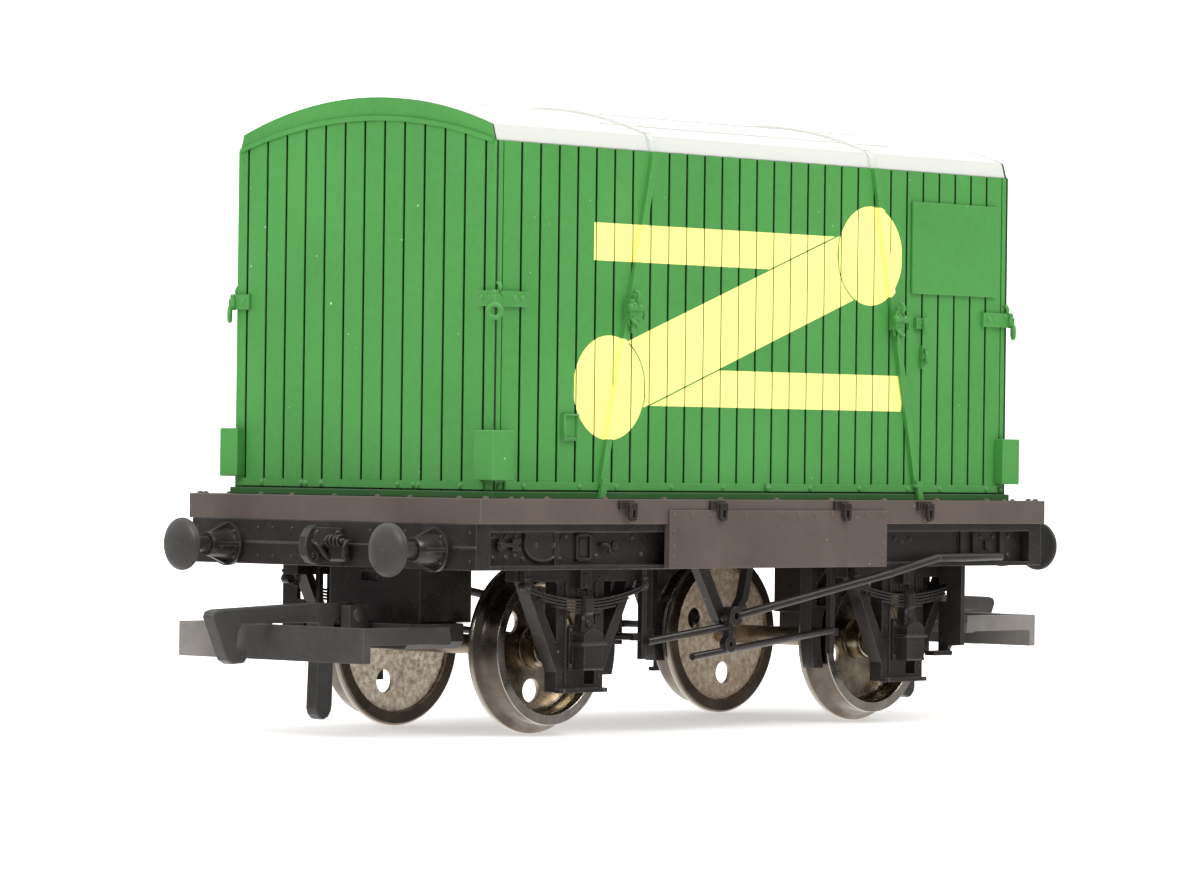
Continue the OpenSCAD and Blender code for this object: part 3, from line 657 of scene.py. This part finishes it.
def strip(b, run, y0, y1):
    n = len(run)
    v = []
    for y in (y1, y0):
        v += [(x, y, a) for x, a, c in run] + [(x, y, c) for x, a, c in run]
    f = []
    for i in range(n - 1):
        f.append([i, i + 1, n + i + 1, n + i])
        f.append([2 * n + i, 3 * n + i, 3 * n + i + 1, 2 * n + i + 1])
        f.append([i, 2 * n + i, 2 * n + i + 1, i + 1])
        f.append([n + i, n + i + 1, 3 * n + i + 1, 3 * n + i])
    f.append([0, n, 3 * n, 2 * n])
    f.append([n - 1, 3 * n - 1, 4 * n - 1, 2 * n - 1])
    b.add(v, f)


def strap_x(z):
    return 13.7 + (19.8 - 13.7) * (46.64 - z) / (46.64 - 18.95)


def print_straps():
    """The same shapes carried over the straps that cross them."""
    b = Build()
    jobs = [(-1, DISC_A, None), (-1, None, (37.75, 40.75, -99.0)), (1, DISC_B, None)]
    for s, disc, bar in jobs:
        z0, z1 = (disc[1] - DISC_R, disc[1] + DISC_R) if disc else bar[:2]
        n = int((z1 - z0) / 0.07)
        rows = []
        for i in range(n + 1):
            z = z0 + (z1 - z0) * i / n
            xa, xb = s * strap_x(z) - 0.33, s * strap_x(z) + 0.33
            if disc:
                d = math.sqrt(max(0.0, DISC_R ** 2 - (z - disc[1]) ** 2))
                xa, xb = max(xa, disc[0] - d), min(xb, disc[0] + d)
            elif bar[2] > 0:
                xb = min(xb, bar[2] + (z - bar[0]) / 3.0 * 0.43)
            if disc is DISC_A and 33.0 < z < 35.0 or disc is DISC_B and z < 35.2:
                xb = xa
            rows.append((z, xa, xb))
        run = []
        for row in rows + [None]:
            if row and row[2] - row[1] > 0.02:
                run.append(row)
                continue
            if len(run) > 1:
                m = len(run)
                v = []
                for y in (-14.875, -14.49):
                    v += [(xa, y, z) for z, xa, xb in run] + [(xb, y, z) for z, xa, xb in run]
                f = []
                for i in range(m - 1):
                    f.append([i, m + i, m + i + 1, i + 1])
                    f.append([2 * m + i, 2 * m + i + 1, 3 * m + i + 1, 3 * m + i])
                    f.append([i, i + 1, 2 * m + i + 1, 2 * m + i])
                    f.append([m + i, 3 * m + i, 3 * m + i + 1, m + i + 1])
                f.append([0, 2 * m, 3 * m, m])
                f.append([m - 1, 2 * m - 1, 4 * m - 1, 3 * m - 1])
                b.add(v, f)
            run = []
    return b


print_side().half_turn().make("side_print", "container", "print_cream")
print_straps().half_turn().make("strap_print", "container", "print_cream")

# --- rivets and bolts on the wagon ------------------------------------------
b = Build()
for k in range(13):
    x = -13.0 + 26.0 * k / 12
    if abs(abs(x) - 7.7) > 0.7:
        b.rivet((x, -16.6, 17.7), NEAR, 0.17, 0.1)
for x in (-13.0, 13.0):
    for z in (16.35, 15.2, 14.35, 13.75):
        b.rivet((x, -16.6, z), NEAR, 0.17, 0.1)
b.half_turn().make("side_plate_rivets", "underframe", "brown_plastic")

b = Build()
for x in (-34.1, -27.3, -20.6, -13.7, -6.9, 0.0, 6.9, 13.7, 20.6, 27.3, 34.1):
    b.bolt((x, -16.05, 18.91), UP, 0.24, 0.17, x)
for x in (-31.1, -29.9, 29.9, 31.1):
    b.rivet((x, -15.9, 18.91), UP, 0.2, 0.16)
for y in (-13.7, -8.4, -4.8, 0.0, 4.8, 8.4, 14.9):
    b.bolt((-34.6, y, 18.91), UP, 0.22, 0.17, y)
b.half_turn().make("deck_edge_bolts", "underframe", "brown_plastic")

# Plates and fittings on the solebar's web, drawn for the near side
b = Build()
w = -15.0


def at_web(a, c, t):
    return (a, w - t, c)


b.prism([(-31.9, 15.0), (-31.9, 15.55), (-31.6, 15.75), (-31.2, 15.6), (-31.0, 15.42), (-30.2, 15.42), (-30.2, 15.75),
         (-29.3, 15.75), (-29.3, 15.5), (-29.75, 15.42), (-29.75, 15.12), (-29.3, 15.02), (-29.3, 14.85), (-30.2, 14.85), (-30.2, 15.16),
         (-31.0, 15.16), (-31.2, 14.95), (-31.6, 14.8)], at_web, -0.05, 0.32)
b.rings((-31.55, w - 0.3, 15.28), NEAR, [(0.3, 0), (0.3, 0.12), (0.18, 0.18)], 12)
b.prism([(-28.75, 16.2), (-24.75, 16.2)] + [(-26.75 + 2.0 * math.cos(t), 15.35 - 1.35 * math.sin(t))
        for t in [math.pi * i / 14 for i in range(15)]], at_web, -0.05, 0.16)
edge = [(-28.75, 15.35)] + [(-26.75 + 2.0 * math.cos(t), 15.35 - 1.35 * math.sin(t)) for t in [math.pi * (14 - i) / 14 for i in range(15)]]
b.tube([(-28.75, w - 0.14, 16.1)] + [(x, w - 0.14, z) for x, z in edge[1:]] + [(-24.75, w - 0.14, 16.1)], 0.13, 8)
for x, z in ((-27.55, 15.3), (-25.55, 15.3)):
    b.bolt((x, w - 0.15, z), NEAR, 0.2, 0.22)
for x, z in ((-30.75, 16.0), (-29.7, 15.98), (-30.75, 14.3), (-29.75, 14.5), (-28.85, 14.2), (-24.6, 14.2), (-23.9, 16.05),
             (-20.45, 14.4), (-32.2, 16.0), (-32.2, 14.3), (-16.2, 15.9), (-15.2, 14.5)):
    b.bolt((x, w, z), NEAR, 0.17, 0.18)
for a, c in (((-22.9, 14.0), (-22.65, 16.2)), ((-21.35, 14.0), (-21.1, 16.2)), ((-22.9, 14.0), (-21.1, 14.25)), ((-22.9, 15.97), (-21.1, 16.2))):
    b.block((a[0], w + 0.05, a[1]), (c[0], w - 0.24, c[1]), 0.05)
b.block((-22.4, w + 0.05, 14.45), (-21.6, w - 0.12, 15.8), 0.05)
b.tube([(-20.1, w, 15.3), (-20.0, w - 0.35, 15.35), (-19.5, w - 0.45, 15.3), (-19.3, w - 0.45, 15.0), (-19.4, w - 0.35, 14.6)], 0.13, 8)
b.block((-20.0, w + 0.05, 15.15), (-19.0, w - 0.2, 15.45), 0.05)
b.rings((-18.3, w - 0.02, 15.2), NEAR, [(0.4, -0.04), (0.4, 0.1), (0.3, 0.16)], 14)
# the same side's other end
for x, z in ((16.4, 15.7), (17.3, 15.35), (18.4, 15.7), (27.9, 15.9), (29.6, 15.9), (27.9, 14.2), (29.6, 14.2), (31.6, 15.9), (31.6, 14.2), (14.8, 15.9)):
    b.bolt((x, w, z), NEAR, 0.17, 0.18)
b.block((26.6, w + 0.05, 14.0), (27.3, w - 0.3, 16.2), 0.06)
b.block((30.2, w + 0.05, 13.95), (30.6, w - 0.35, 16.25), 0.06)
b.block((28.4, w + 0.05, 14.7), (29.1, w - 0.22, 15.5), 0.06)
b.half_turn().make("solebar_fittings", "underframe", "black_plastic")

# --- headstock and drawgear, drawn for end A --------------------------------
b = Build()
hx = -35.0
for y in (-11.6, 11.6):
    for a in (45, 135, 225, 315):
        t = math.radians(a)
        b.bolt((hx - 0.45, y + 1.42 * math.cos(t), 14.9 + 1.42 * math.sin(t)), OUT_A, 0.13, 0.14)
for y in (-1.15, 1.15):
    for z in (14.0, 16.0):
        b.bolt((hx - 0.35, y, z), OUT_A, 0.16, 0.16)
for y in (-15.3, -8.3, -6.6, -4.4, 4.4, 6.6, 8.3, 15.3):
    for z in (14.05, 16.25):
        b.rivet((hx, y, z), OUT_A, 0.15, 0.09)
# screw coupling folded against the beam: bar, coils, links and the tommy bar's ball
b.block((hx - 0.95, -2.55, 13.75), (hx - 0.3, -0.55, 15.3), 0.2)
for k in range(4):
    b.ring((hx - 1.0, -0.95 - 0.42 * k, 15.35 + 0.05 * (k % 2)), (0.15, 1, 0), 0.42, 0.12, 16, 8)
b.tube([(hx - 1.0, -0.45, 15.35), (hx - 1.0, -2.6, 15.4)], 0.24, 10)
b.tube([(hx - 0.4, -2.75, 15.4), (hx - 1.05, -2.8, 15.35), (hx - 1.25, -2.7, 14.8), (hx - 1.1, -2.6, 14.2), (hx - 0.3, -2.55, 14.0)], 0.17, 8)
b.tube([(hx - 2.3, -0.45, 15.3), (hx - 2.0, -0.75, 14.9), (hx - 1.5, -0.85, 14.3), (hx - 0.9, -0.9, 14.0)], 0.19, 8)
b.tube([(hx - 2.3, 0.45, 15.3), (hx - 2.0, 0.75, 14.9), (hx - 1.5, 0.85, 14.3), (hx - 0.9, 0.5, 14.0)], 0.19, 8)
b.tube([(hx - 2.35, -0.5, 15.32), (hx - 2.35, 0.5, 15.32)], 0.2, 8)
b.half_turn().make("screw_coupling_detail", "underframe", "black_plastic")

# --- axleboxes, springs, W-irons: drawn about both axles of the near side -----
b = Build()
for x in (-20.0, 20.0):
    z = 7.0
    for dx in (-1.3, 1.3):
        b.bolt((x + dx, -13.25, z + 1.5), NEAR, 0.13, 0.1)
        b.bolt((x + dx, -13.25, z - 1.3), NEAR, 0.13, 0.1)
    b.block((x - 1.42, -14.66, z + 0.36), (x + 1.42, -14.35, z + 0.49), 0.05)
    b.block((x - 1.16, -14.56, z - 1.6), (x + 1.16, -14.4, z - 1.42), 0.04)
    b.rings((x, -13.86, z + 2.05), NEAR, [(0.3, -0.05), (0.3, 0.05), (0.2, 0.1)], 14)
    for dx in (-0.42, 0.78):
        b.block((x + dx - 0.09, -13.12, z + 4.35), (x + dx + 0.09, -12.95, z + 5.9), 0.04)
    b.tube([(x - 0.42, -13.0, z + 4.75), (x - 0.1, -13.08, z + 4.5), (x + 0.3, -13.08, z + 4.5), (x + 0.6, -13.0, z + 4.65)], 0.11, 8)
    for s in (-1, 1):
        b.bolt((x + s * 6.8, -13.75, 12.0), NEAR, 0.22, 0.2)
        for k, dz in enumerate((5.6, 4.6)):
            b.rivet((x + s * (6.2 - 0.62 * k), -13.0, z + dz), NEAR, 0.14, 0.09)
        for dz in (5.6, 4.9, 2.6, -2.2):
            b.rivet((x + s * 2.2, -13.0, z + dz), NEAR, 0.13, 0.08)
        b.bolt((x + s * 2.3, -13.5, z - 3.28), NEAR, 0.14, 0.12)
        b.block((x + s * 6.8 - 0.34, -13.8, 12.5), (x + s * 6.8 + 0.34, -13.55, 12.75), 0.06)
        b.block((x + s * 1.72 - 0.1, -13.12, z - 2.8), (x + s * 1.72 + 0.1, -12.9, z + 5.3), 0.04)
    b.block((x - 0.5, -14.12, 9.75), (x + 0.5, -13.8, 11.1), 0.12)
    b.bolt((x - 0.62, -13.85, 9.45), NEAR, 0.13, 0.14)
    b.block((x - 0.2, -13.68, 12.0), (x + 0.2, -13.55, 13.0), 0.05)
b.half_turn().make("running_gear_bolts", "underframe", "black_plastic")

# --- container bolts ---------------------------------------------------------
b = Build()
for x in (-28.45, -22.1, -17.8, -11.35, -5.05, 0.47, 5.8, 12.1, 18.4, 22.7, 28.95):
    y = -14.7 if abs(x) > 0.3 else -14.5
    b.bolt((x, y, 19.84), NEAR, 0.2, 0.16, x)
for y in (-11.2, -6.6, -6.05, -4.3, 4.3, 6.05, 6.6, 11.2):
    b.bolt((-31.95, y, 19.84), OUT_A, 0.2, 0.16, y)
for x in (-31.1, 31.1):
    b.bolt((x, -14.6, 19.84), NEAR, 0.18, 0.16)
b.half_turn().make("bottom_rail_bolts", "container", "green_paint")

b = Build()
for s in (-1, 1):
    for dx in (29.85, 28.95):
        b.bolt((s * dx, -14.8, 34.45), NEAR, 0.2, 0.16)
    b.rivet((s * 31.2, -14.8, 34.75), NEAR, 0.2, 0.14)
    for z in (45.95, 45.55, 44.85, 44.45):
        b.rivet((s * 31.75, -13.97, z), (s, 0, 0), 0.12, 0.09)
        b.rivet((s * 31.35, -14.5, z), NEAR, 0.1, 0.07)
    b.bolt((s * 32.05, -13.4, 34.45), (s, 0, 0), 0.2, 0.16)
    # hinge eye standing on the corner plate
    b.tube([(s * 31.5, -14.7, 34.95), (s * 31.5, -14.85, 35.3), (s * 31.5, -14.7, 35.6), (s * 31.5, -14.45, 35.62)], 0.17, 8)
    b.block((s * 31.75, -14.95, 33.75), (s * 32.2, -14.5, 35.05), 0.08)
    for z in (21.2, 22.2, 23.2):
        b.rivet((s * 30.9, -15.4, z), NEAR, 0.08, 0.05)
b.half_turn().make("corner_bolts", "container", "green_paint")

# strap tensioners: hooked lever, drum and the loose end, for each strap
b = Build()
for s in (-1, 1):
    cx = s * strap_x(34.0)
    b.rings((cx - 0.8, -15.25, 34.1), (1, 0, 0), [(0.24, 0), (0.34, 0.06), (0.34, 0.36), (0.24, 0.42), (0.24, 1.15), (0.34, 1.2), (0.34, 1.5), (0.22, 1.56)], 14)
    b.tube([(cx + 0.2, -15.2, 34.6), (cx + 0.35, -15.4, 35.0), (cx + 0.25, -15.35, 35.35), (cx + 0.0, -15.1, 35.45)], [0.2, 0.2, 0.17, 0.1], 8)
    b.tube([(cx - 0.35, -15.15, 33.3), (cx - 0.1, -15.4, 32.9), (cx + 0.25, -15.4, 32.75), (cx + 0.55, -15.2, 32.95)], [0.18, 0.2, 0.2, 0.12], 8)
    b.tube([(cx + 0.75, -15.25, 34.1), (cx + 1.15, -15.3, 33.7), (cx + 1.1, -15.2, 33.2)], 0.13, 8)
    b.ring((cx + 0.05, -14.95, 33.1), (0.1, 1, 0.1), 0.4, 0.12, 16, 8)
    b.bolt((cx, -15.25, 34.35), NEAR, 0.16, 0.16)
    # clips that hold the strap's foot and the loop at its top
    fx = s * strap_x(20.6)
    b.block((fx - 0.42, -15.12, 19.95), (fx + 0.42, -14.7, 20.25), 0.07)
b.half_turn().make("strap_tensioners", "container", "green_paint")

b = Build()
b.bolt((19.6, -14.85, 33.85), NEAR, 0.15, 0.14)
b.bolt((20.7, -14.85, 33.85), NEAR, 0.15, 0.14)
b.rivet((20.3, -14.8, 31.75), NEAR, 0.13, 0.09)
b.rivet((20.3, -14.8, 30.25), NEAR, 0.13, 0.09)
b.tube([(20.3, -14.95, 31.6), (20.15, -15.15, 31.3), (20.2, -15.15, 30.8), (20.4, -14.95, 30.55)], 0.14, 8)
# four small pins at the notice panel's corners, and a raised frame round the label clip
for x in (19.05, 29.75):
    for z in (36.7, 43.75):
        b.rivet((x, -14.78, z), NEAR, 0.1, 0.05)
b.tube([(-24.0, -14.8, 25.5), (-24.0, -14.8, 23.6), (-22.45, -14.8, 23.6), (-22.45, -14.8, 25.5), (-24.0, -14.8, 25.5)], 0.1, 8)
b.half_turn().make("side_hasp_detail", "container", "green_paint")

# --- roof battens -------------------------------------------------------------
b = Build()


def roof_z(y):
    return 50.48 - 39.45 + math.sqrt(39.45 ** 2 - y * y)


for y, xa, xb in ((-11.2, -16.5, 19.2), (-5.0, -14.0, 22.5), (-2.7, -25.0, 12.0)):
    n = Vector((0, y, math.sqrt(39.45 ** 2 - y * y))).normalized()
    t = Vector((0, n.z, -n.y))
    c = Vector((0, y, roof_z(y)))
    v = []
    for x in (xa, xb):
        for a, h in ((-0.17, -0.05), (-0.12, 0.08), (0.12, 0.08), (0.17, -0.05)):
            p = c + t * a + n * h
            v.append((x, p.y, p.z))
    b.add(v, [[0, 1, 2, 3], [7, 6, 5, 4], [0, 4, 5, 1], [1, 5, 6, 2], [2, 6, 7, 3], [3, 7, 4, 0]])
b.half_turn().make("roof_battens", "container", "roof_white")

# --- couplings -----------------------------------------------------------------
for end, s in (("a", -1), ("b", 1)):
    b = Build()
    for t in (-1.75, 1.75):
        b.rings((-33.5, t, 9.6), (0, 1 if t > 0 else -1, 0), [(0.62, -0.05), (0.62, 0.12), (0.45, 0.22)], 16)
    if s > 0:
        b.v = [(-x, -y, z) for x, y, z in b.v]
    b.make("coupling_pivot_caps_" + end, "underframe", "grey_plastic")

# ---------------------------------------------------------------------------
# Stage, light and camera
# ---------------------------------------------------------------------------
scene = bpy.context.scene
scene.view_settings.view_transform = "Standard"
scene.view_settings.look = "None"

world = bpy.data.worlds.new("studio")
scene.world = world
world.use_nodes = True
wt = world.node_tree
wt.nodes.clear()


def wnode(kind, **props):
    n = wt.nodes.new(kind)
    for k, v in props.items():
        setattr(n, k, v)
    return n


def wmath(op, a, b):
    n = wnode("ShaderNodeMath", operation=op)
    for v, sk in ((a, n.inputs[0]), (b, n.inputs[1])):
        if isinstance(v, bpy.types.NodeSocket):
            wt.links.new(v, sk)
        else:
            sk.default_value = v
    return n.outputs[0]


def wrange(v, a, b, lo, hi):
    n = wnode("ShaderNodeMapRange", clamp=True, interpolation_type="SMOOTHSTEP")
    wt.links.new(v, n.inputs["Value"])
    for name, x in (("From Min", a), ("From Max", b), ("To Min", lo), ("To Max", hi)):
        n.inputs[name].default_value = x
    return n.outputs["Result"]


# a light tent: bright above and beyond the wagon, darker on the open side
sky = wnode("ShaderNodeTexCoord").outputs["Generated"]
wsep = wnode("ShaderNodeSeparateXYZ")
wt.links.new(sky, wsep.inputs[0])
beyond = wmath("ADD", wmath("MULTIPLY", wsep.outputs[0], 0.7335), wmath("MULTIPLY", wsep.outputs[1], 0.6797))
power = wmath("ADD", wrange(beyond, -0.15, 0.9, 0.13, 0.75), wrange(wsep.outputs[2], 0.15, 0.8, 0.0, 0.50))
power = wmath("ADD", power, wrange(wmath("MULTIPLY", wsep.outputs[2], -1.0), 0.08, 0.6, 0.0, 0.75))
bg = wnode("ShaderNodeBackground")
wt.links.new(power, bg.inputs["Strength"])
bg.inputs["Color"].default_value = (1.0, 0.985, 0.97, 1)
wt.links.new(bg.outputs[0], wnode("ShaderNodeOutputWorld").inputs[0])

# white sweep far behind everything, seen but casting neither light nor shadow
import bmesh
bm = bmesh.new()
bmesh.ops.create_icosphere(bm, subdivisions=4, radius=8.0)
sweep_mesh = bpy.data.meshes.new("sweep")
bm.to_mesh(sweep_mesh)
bm.free()
sweep = bpy.data.objects.new("sweep", sweep_mesh)
scene.collection.objects.link(sweep)
sm = bpy.data.materials.new("sweep_white")
sm.use_nodes = True
sm.node_tree.nodes["Principled BSDF"].inputs["Base Color"].default_value = (0.9, 0.9, 0.9, 1)
sm.node_tree.nodes["Principled BSDF"].inputs["Emission Color"].default_value = (1, 1, 1, 1)
sm.node_tree.nodes["Principled BSDF"].inputs["Emission Strength"].default_value = 1.0
sweep_mesh.materials.append(sm)
for flag in ("visible_diffuse", "visible_glossy", "visible_transmission", "visible_volume_scatter", "visible_shadow"):
    setattr(sweep, flag, False)



def plane(name, z, mat):
    mesh = bpy.data.meshes.new(name)
    mesh.from_pydata([(-7.9, -7.9, z), (7.9, -7.9, z), (7.9, 7.9, z), (-7.9, 7.9, z)], [], [[0, 1, 2, 3]])
    mesh.materials.append(mat)
    o = bpy.data.objects.new(name, mesh)
    scene.collection.objects.link(o)
    o.visible_shadow = False
    return o


fm = Mat("floor_paper", 0.7)
fm.color(fm.ramp(fm.noise(40, 3), [(0.3, (0.86, 0.855, 0.845)), (0.7, (0.88, 0.875, 0.865))]))
fm.bsdf.inputs["Emission Color"].default_value = (1.0, 0.99, 0.975, 1)
fr = fm.math("SQRT", fm.math("ADD", fm.math("MULTIPLY", fm.x, fm.x), fm.math("MULTIPLY", fm.y, fm.y)))
fm.link(fm.range(fr, 0.10, 0.45, 0.46, 1.1), fm.bsdf.inputs["Emission Strength"])
floor = plane("floor", 0.0, fm.mat)
floor.visible_diffuse = False
floor.visible_glossy = False
bm_ = Mat("floor_bounce", 0.8)
bm_.color(bm_.ramp(bm_.noise(30, 2), [(0.3, (0.68, 0.67, 0.655)), (0.7, (0.72, 0.71, 0.695))]))
bm_.bsdf.inputs["Emission Color"].default_value = (1.0, 0.985, 0.965, 1)
bm_.bsdf.inputs["Emission Strength"].default_value = 0.62
bounce = plane("floor_bounce", -0.00003, bm_.mat)
bounce.visible_camera = False
bounce.visible_glossy = False
bounce.visible_shadow = True


def area(name, loc, target, size, power, color=(1, 1, 1)):
    data = bpy.data.lights.new(name, "AREA")
    data.shape = "RECTANGLE"
    data.size, data.size_y = size
    data.energy = power
    data.color = color
    o = bpy.data.objects.new(name, data)
    o.location = loc
    o.rotation_euler = (Vector(target) - Vector(loc)).to_track_quat("-Z", "Y").to_euler()
    scene.collection.objects.link(o)
    return o


area("overhead", (0.05, 0.05, 0.8), (0, 0, 0), (1.0, 0.8), 2.5, (1.0, 0.985, 0.965))
area("left", (-0.7, -0.08, 0.5), (0, 0, 0.03), (0.5, 0.4), 3.3, (1.0, 0.985, 0.965))
area("front", (0.12, -0.58, 0.66), (0, 0, 0.03), (0.5, 0.4), 3.9, (1.0, 0.985, 0.965))
area("beyond", (-0.35, 0.8, 0.45), (0, 0, 0.02), (1.0, 0.7), 0.9)

yaw, pitch, roll = math.radians(47.18), math.radians(0.176), math.radians(0.716)
d = Vector((math.sin(yaw) * math.cos(pitch), math.cos(yaw) * math.cos(pitch), math.sin(pitch)))
r = Vector((math.cos(yaw), -math.sin(yaw), 0.0))
u = r.cross(d)
r2 = r * math.cos(roll) + u * math.sin(roll)
u2 = u * math.cos(roll) - r * math.sin(roll)
camera = bpy.data.cameras.new("camera")
camera.sensor_width = 36.0
camera.sensor_fit = "HORIZONTAL"
camera.lens = 5313.07 / 1200.0 * 36.0
camera.clip_start = 0.01
camera.clip_end = 50.0
cam = bpy.data.objects.new("camera", camera)
cam.matrix_world = Matrix(((r2.x, u2.x, -d.x, -327.666 * MM), (r2.y, u2.y, -d.y, -300.001 * MM), (r2.z, u2.z, -d.z, 22.111 * MM), (0, 0, 0, 1)))
scene.collection.objects.link(cam)
scene.camera = cam
